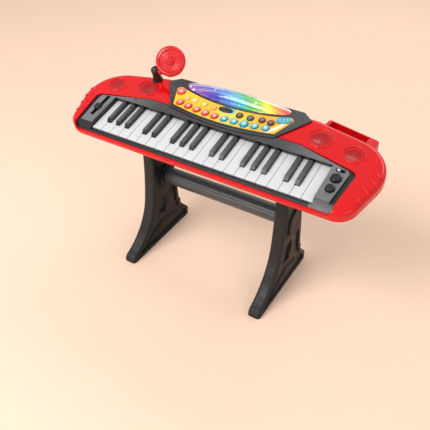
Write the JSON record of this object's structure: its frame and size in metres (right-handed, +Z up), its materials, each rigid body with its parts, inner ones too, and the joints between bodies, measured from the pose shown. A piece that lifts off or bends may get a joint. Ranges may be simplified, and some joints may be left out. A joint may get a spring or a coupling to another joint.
{
  "type": "toy electronic keyboard",
  "caption": "Toy electronic keyboard on two curved legs, with pressable keys and buttons, a swivelling toy microphone and a slot that holds a phone.",
  "frame": {"origin": "centre of the bounding box in plan, on the floor under the feet", "axes": "+X along the keys to the player's right, +Y away from the player, +Z up"},
  "size_m": [0.592, 0.2204, 0.3947],
  "materials": {
    "white_key_plastic": "gloss",
    "black_key_plastic": "gloss",
    "red_shell": "gloss",
    "charcoal_pan": "satin",
    "door_plastic": "satin",
    "screw_steel": "satin",
    "surround_plastic": "satin",
    "knob_plastic": "satin",
    "lever_plastic": "satin",
    "switch_plastic": "gloss",
    "panel_plastic": "satin",
    "panel_print": "gloss",
    "red_button_plastic": "gloss",
    "teal_button_plastic": "gloss",
    "small_button_plastic": "gloss",
    "dome_plastic": "gloss",
    "board_laminate": "satin",
    "speaker_paper": "matte",
    "mic_arm_plastic": "satin",
    "mic_head_plastic": "gloss",
    "holder_plastic": "gloss",
    "leg_plastic": "satin",
    "tube_plastic": "satin"
  },
  "bodies": {
    "keyboard": {"upper_shell": "red_shell", "lower_shell": "charcoal_pan", "battery_door": "door_plastic", "screws": "screw_steel", "key_surround": "surround_plastic", "panel_frame": "panel_plastic", "panel_sheet": "panel_print", "light_dome": "dome_plastic", "circuit_boards": "board_laminate", "speakers": "speaker_paper", "phone_holder": "holder_plastic", "right_leg": "leg_plastic", "left_leg": "leg_plastic", "crossbar": "tube_plastic"},
    "mic_arm": {"mic_arm": "mic_arm_plastic"},
    "mic_head": {"mic_head": "mic_head_plastic"},
    "pitch_lever": {"pitch_lever": "lever_plastic"},
    "volume_knob": {"volume_knob": "knob_plastic"},
    "tempo_knob": {"tempo_knob": "knob_plastic"},
    "power_switch": {"power_switch": "switch_plastic"},
    "red_buttons": {"red_buttons": "red_button_plastic"},
    "teal_buttons": {"teal_buttons": "teal_button_plastic"},
    "small_buttons": {"small_buttons": "small_button_plastic"},
    "white_key_01": {"white_key_01": "white_key_plastic"},
    "white_key_02": {"white_key_02": "white_key_plastic"},
    "white_key_03": {"white_key_03": "white_key_plastic"},
    "white_key_04": {"white_key_04": "white_key_plastic"},
    "white_key_05": {"white_key_05": "white_key_plastic"},
    "white_key_06": {"white_key_06": "white_key_plastic"},
    "white_key_07": {"white_key_07": "white_key_plastic"},
    "white_key_08": {"white_key_08": "white_key_plastic"},
    "white_key_09": {"white_key_09": "white_key_plastic"},
    "white_key_10": {"white_key_10": "white_key_plastic"},
    "white_key_11": {"white_key_11": "white_key_plastic"},
    "white_key_12": {"white_key_12": "white_key_plastic"},
    "white_key_13": {"white_key_13": "white_key_plastic"},
    "white_key_14": {"white_key_14": "white_key_plastic"},
    "white_key_15": {"white_key_15": "white_key_plastic"},
    "white_key_16": {"white_key_16": "white_key_plastic"},
    "white_key_17": {"white_key_17": "white_key_plastic"},
    "white_key_18": {"white_key_18": "white_key_plastic"},
    "white_key_19": {"white_key_19": "white_key_plastic"},
    "white_key_20": {"white_key_20": "white_key_plastic"},
    "white_key_21": {"white_key_21": "white_key_plastic"},
    "white_key_22": {"white_key_22": "white_key_plastic"},
    "black_key_01": {"black_key_01": "black_key_plastic"},
    "black_key_02": {"black_key_02": "black_key_plastic"},
    "black_key_03": {"black_key_03": "black_key_plastic"},
    "black_key_04": {"black_key_04": "black_key_plastic"},
    "black_key_05": {"black_key_05": "black_key_plastic"},
    "black_key_06": {"black_key_06": "black_key_plastic"},
    "black_key_07": {"black_key_07": "black_key_plastic"},
    "black_key_08": {"black_key_08": "black_key_plastic"},
    "black_key_09": {"black_key_09": "black_key_plastic"},
    "black_key_10": {"black_key_10": "black_key_plastic"},
    "black_key_11": {"black_key_11": "black_key_plastic"},
    "black_key_12": {"black_key_12": "black_key_plastic"},
    "black_key_13": {"black_key_13": "black_key_plastic"},
    "black_key_14": {"black_key_14": "black_key_plastic"},
    "black_key_15": {"black_key_15": "black_key_plastic"}
  },
  "joints": [
    {"name": "mic_arm_swing", "type": "hinge", "parent": "keyboard", "child": "mic_arm", "pos_m": [-0.181, 0.07481, 0.31475], "axis": [0, -0.2351, 0.972], "range_deg": [-45, 60]},
    {"name": "mic_head_tilt", "type": "hinge", "parent": "mic_arm", "child": "mic_head", "pos_m": [-0.181, 0.06964, 0.33614], "axis": [1, 0, 0], "range_deg": [-35, 15]},
    {"name": "pitch_slide", "type": "slide", "parent": "keyboard", "child": "pitch_lever", "axis": [0, 0.972, 0.2351], "range_m": [-0.014, 0.028]},
    {"name": "volume_turn", "type": "hinge", "parent": "keyboard", "child": "volume_knob", "pos_m": [0.2295, -0.02577, 0.29248], "axis": [0, -0.2351, 0.972], "range_deg": [-135, 135]},
    {"name": "tempo_turn", "type": "hinge", "parent": "keyboard", "child": "tempo_knob", "pos_m": [0.2295, -0.04813, 0.28707], "axis": [0, -0.2351, 0.972], "range_deg": [-135, 135]},
    {"name": "power_slide", "type": "slide", "parent": "keyboard", "child": "power_switch", "axis": [1, 0, 0], "range_m": [0, 0.006]},
    {"name": "red_buttons_press", "type": "slide", "parent": "keyboard", "child": "red_buttons", "axis": [0, 0.2351, -0.972], "range_m": [0, 0.0012], "stiffness_N_per_m": 400, "springref_m": -0.001},
    {"name": "teal_buttons_press", "type": "slide", "parent": "keyboard", "child": "teal_buttons", "axis": [0, 0.2351, -0.972], "range_m": [0, 0.0012], "stiffness_N_per_m": 400, "springref_m": -0.001},
    {"name": "small_buttons_press", "type": "slide", "parent": "keyboard", "child": "small_buttons", "axis": [0, 0.2351, -0.972], "range_m": [0, 0.0012], "stiffness_N_per_m": 400, "springref_m": -0.001},
    {"name": "white_key_01_press", "type": "hinge", "parent": "keyboard", "child": "white_key_01", "pos_m": [-0.007, 0.02659, 0.28868], "axis": [1, 0, 0], "range_deg": [0, 2.4], "stiffness_Nm_per_rad": 0.6, "springref_deg": -2.86},
    {"name": "white_key_02_press", "type": "hinge", "parent": "keyboard", "child": "white_key_02", "pos_m": [-0.007, 0.02659, 0.28868], "axis": [1, 0, 0], "range_deg": [0, 2.4], "stiffness_Nm_per_rad": 0.6, "springref_deg": -2.86},
    {"name": "white_key_03_press", "type": "hinge", "parent": "keyboard", "child": "white_key_03", "pos_m": [-0.007, 0.02659, 0.28868], "axis": [1, 0, 0], "range_deg": [0, 2.4], "stiffness_Nm_per_rad": 0.6, "springref_deg": -2.86},
    {"name": "white_key_04_press", "type": "hinge", "parent": "keyboard", "child": "white_key_04", "pos_m": [-0.007, 0.02659, 0.28868], "axis": [1, 0, 0], "range_deg": [0, 2.4], "stiffness_Nm_per_rad": 0.6, "springref_deg": -2.86},
    {"name": "white_key_05_press", "type": "hinge", "parent": "keyboard", "child": "white_key_05", "pos_m": [-0.007, 0.02659, 0.28868], "axis": [1, 0, 0], "range_deg": [0, 2.4], "stiffness_Nm_per_rad": 0.6, "springref_deg": -2.86},
    {"name": "white_key_06_press", "type": "hinge", "parent": "keyboard", "child": "white_key_06", "pos_m": [-0.007, 0.02659, 0.28868], "axis": [1, 0, 0], "range_deg": [0, 2.4], "stiffness_Nm_per_rad": 0.6, "springref_deg": -2.86},
    {"name": "white_key_07_press", "type": "hinge", "parent": "keyboard", "child": "white_key_07", "pos_m": [-0.007, 0.02659, 0.28868], "axis": [1, 0, 0], "range_deg": [0, 2.4], "stiffness_Nm_per_rad": 0.6, "springref_deg": -2.86},
    {"name": "white_key_08_press", "type": "hinge", "parent": "keyboard", "child": "white_key_08", "pos_m": [-0.007, 0.02659, 0.28868], "axis": [1, 0, 0], "range_deg": [0, 2.4], "stiffness_Nm_per_rad": 0.6, "springref_deg": -2.86},
    {"name": "white_key_09_press", "type": "hinge", "parent": "keyboard", "child": "white_key_09", "pos_m": [-0.007, 0.02659, 0.28868], "axis": [1, 0, 0], "range_deg": [0, 2.4], "stiffness_Nm_per_rad": 0.6, "springref_deg": -2.86},
    {"name": "white_key_10_press", "type": "hinge", "parent": "keyboard", "child": "white_key_10", "pos_m": [-0.007, 0.02659, 0.28868], "axis": [1, 0, 0], "range_deg": [0, 2.4], "stiffness_Nm_per_rad": 0.6, "springref_deg": -2.86},
    {"name": "white_key_11_press", "type": "hinge", "parent": "keyboard", "child": "white_key_11", "pos_m": [-0.007, 0.02659, 0.28868], "axis": [1, 0, 0], "range_deg": [0, 2.4], "stiffness_Nm_per_rad": 0.6, "springref_deg": -2.86},
    {"name": "white_key_12_press", "type": "hinge", "parent": "keyboard", "child": "white_key_12", "pos_m": [-0.007, 0.02659, 0.28868], "axis": [1, 0, 0], "range_deg": [0, 2.4], "stiffness_Nm_per_rad": 0.6, "springref_deg": -2.86},
    {"name": "white_key_13_press", "type": "hinge", "parent": "keyboard", "child": "white_key_13", "pos_m": [-0.007, 0.02659, 0.28868], "axis": [1, 0, 0], "range_deg": [0, 2.4], "stiffness_Nm_per_rad": 0.6, "springref_deg": -2.86},
    {"name": "white_key_14_press", "type": "hinge", "parent": "keyboard", "child": "white_key_14", "pos_m": [-0.007, 0.02659, 0.28868], "axis": [1, 0, 0], "range_deg": [0, 2.4], "stiffness_Nm_per_rad": 0.6, "springref_deg": -2.86},
    {"name": "white_key_15_press", "type": "hinge", "parent": "keyboard", "child": "white_key_15", "pos_m": [-0.007, 0.02659, 0.28868], "axis": [1, 0, 0], "range_deg": [0, 2.4], "stiffness_Nm_per_rad": 0.6, "springref_deg": -2.86},
    {"name": "white_key_16_press", "type": "hinge", "parent": "keyboard", "child": "white_key_16", "pos_m": [-0.007, 0.02659, 0.28868], "axis": [1, 0, 0], "range_deg": [0, 2.4], "stiffness_Nm_per_rad": 0.6, "springref_deg": -2.86},
    {"name": "white_key_17_press", "type": "hinge", "parent": "keyboard", "child": "white_key_17", "pos_m": [-0.007, 0.02659, 0.28868], "axis": [1, 0, 0], "range_deg": [0, 2.4], "stiffness_Nm_per_rad": 0.6, "springref_deg": -2.86},
    {"name": "white_key_18_press", "type": "hinge", "parent": "keyboard", "child": "white_key_18", "pos_m": [-0.007, 0.02659, 0.28868], "axis": [1, 0, 0], "range_deg": [0, 2.4], "stiffness_Nm_per_rad": 0.6, "springref_deg": -2.86},
    {"name": "white_key_19_press", "type": "hinge", "parent": "keyboard", "child": "white_key_19", "pos_m": [-0.007, 0.02659, 0.28868], "axis": [1, 0, 0], "range_deg": [0, 2.4], "stiffness_Nm_per_rad": 0.6, "springref_deg": -2.86},
    {"name": "white_key_20_press", "type": "hinge", "parent": "keyboard", "child": "white_key_20", "pos_m": [-0.007, 0.02659, 0.28868], "axis": [1, 0, 0], "range_deg": [0, 2.4], "stiffness_Nm_per_rad": 0.6, "springref_deg": -2.86},
    {"name": "white_key_21_press", "type": "hinge", "parent": "keyboard", "child": "white_key_21", "pos_m": [-0.007, 0.02659, 0.28868], "axis": [1, 0, 0], "range_deg": [0, 2.4], "stiffness_Nm_per_rad": 0.6, "springref_deg": -2.86},
    {"name": "white_key_22_press", "type": "hinge", "parent": "keyboard", "child": "white_key_22", "pos_m": [-0.007, 0.02659, 0.28868], "axis": [1, 0, 0], "range_deg": [0, 2.4], "stiffness_Nm_per_rad": 0.6, "springref_deg": -2.86},
    {"name": "black_key_01_press", "type": "hinge", "parent": "keyboard", "child": "black_key_01", "pos_m": [-0.007, 0.02659, 0.28868], "axis": [1, 0, 0], "range_deg": [0, 2.4], "stiffness_Nm_per_rad": 0.6, "springref_deg": -2.86},
    {"name": "black_key_02_press", "type": "hinge", "parent": "keyboard", "child": "black_key_02", "pos_m": [-0.007, 0.02659, 0.28868], "axis": [1, 0, 0], "range_deg": [0, 2.4], "stiffness_Nm_per_rad": 0.6, "springref_deg": -2.86},
    {"name": "black_key_03_press", "type": "hinge", "parent": "keyboard", "child": "black_key_03", "pos_m": [-0.007, 0.02659, 0.28868], "axis": [1, 0, 0], "range_deg": [0, 2.4], "stiffness_Nm_per_rad": 0.6, "springref_deg": -2.86},
    {"name": "black_key_04_press", "type": "hinge", "parent": "keyboard", "child": "black_key_04", "pos_m": [-0.007, 0.02659, 0.28868], "axis": [1, 0, 0], "range_deg": [0, 2.4], "stiffness_Nm_per_rad": 0.6, "springref_deg": -2.86},
    {"name": "black_key_05_press", "type": "hinge", "parent": "keyboard", "child": "black_key_05", "pos_m": [-0.007, 0.02659, 0.28868], "axis": [1, 0, 0], "range_deg": [0, 2.4], "stiffness_Nm_per_rad": 0.6, "springref_deg": -2.86},
    {"name": "black_key_06_press", "type": "hinge", "parent": "keyboard", "child": "black_key_06", "pos_m": [-0.007, 0.02659, 0.28868], "axis": [1, 0, 0], "range_deg": [0, 2.4], "stiffness_Nm_per_rad": 0.6, "springref_deg": -2.86},
    {"name": "black_key_07_press", "type": "hinge", "parent": "keyboard", "child": "black_key_07", "pos_m": [-0.007, 0.02659, 0.28868], "axis": [1, 0, 0], "range_deg": [0, 2.4], "stiffness_Nm_per_rad": 0.6, "springref_deg": -2.86},
    {"name": "black_key_08_press", "type": "hinge", "parent": "keyboard", "child": "black_key_08", "pos_m": [-0.007, 0.02659, 0.28868], "axis": [1, 0, 0], "range_deg": [0, 2.4], "stiffness_Nm_per_rad": 0.6, "springref_deg": -2.86},
    {"name": "black_key_09_press", "type": "hinge", "parent": "keyboard", "child": "black_key_09", "pos_m": [-0.007, 0.02659, 0.28868], "axis": [1, 0, 0], "range_deg": [0, 2.4], "stiffness_Nm_per_rad": 0.6, "springref_deg": -2.86},
    {"name": "black_key_10_press", "type": "hinge", "parent": "keyboard", "child": "black_key_10", "pos_m": [-0.007, 0.02659, 0.28868], "axis": [1, 0, 0], "range_deg": [0, 2.4], "stiffness_Nm_per_rad": 0.6, "springref_deg": -2.86},
    {"name": "black_key_11_press", "type": "hinge", "parent": "keyboard", "child": "black_key_11", "pos_m": [-0.007, 0.02659, 0.28868], "axis": [1, 0, 0], "range_deg": [0, 2.4], "stiffness_Nm_per_rad": 0.6, "springref_deg": -2.86},
    {"name": "black_key_12_press", "type": "hinge", "parent": "keyboard", "child": "black_key_12", "pos_m": [-0.007, 0.02659, 0.28868], "axis": [1, 0, 0], "range_deg": [0, 2.4], "stiffness_Nm_per_rad": 0.6, "springref_deg": -2.86},
    {"name": "black_key_13_press", "type": "hinge", "parent": "keyboard", "child": "black_key_13", "pos_m": [-0.007, 0.02659, 0.28868], "axis": [1, 0, 0], "range_deg": [0, 2.4], "stiffness_Nm_per_rad": 0.6, "springref_deg": -2.86},
    {"name": "black_key_14_press", "type": "hinge", "parent": "keyboard", "child": "black_key_14", "pos_m": [-0.007, 0.02659, 0.28868], "axis": [1, 0, 0], "range_deg": [0, 2.4], "stiffness_Nm_per_rad": 0.6, "springref_deg": -2.86},
    {"name": "black_key_15_press", "type": "hinge", "parent": "keyboard", "child": "black_key_15", "pos_m": [-0.007, 0.02659, 0.28868], "axis": [1, 0, 0], "range_deg": [0, 2.4], "stiffness_Nm_per_rad": 0.6, "springref_deg": -2.86}
  ]
}
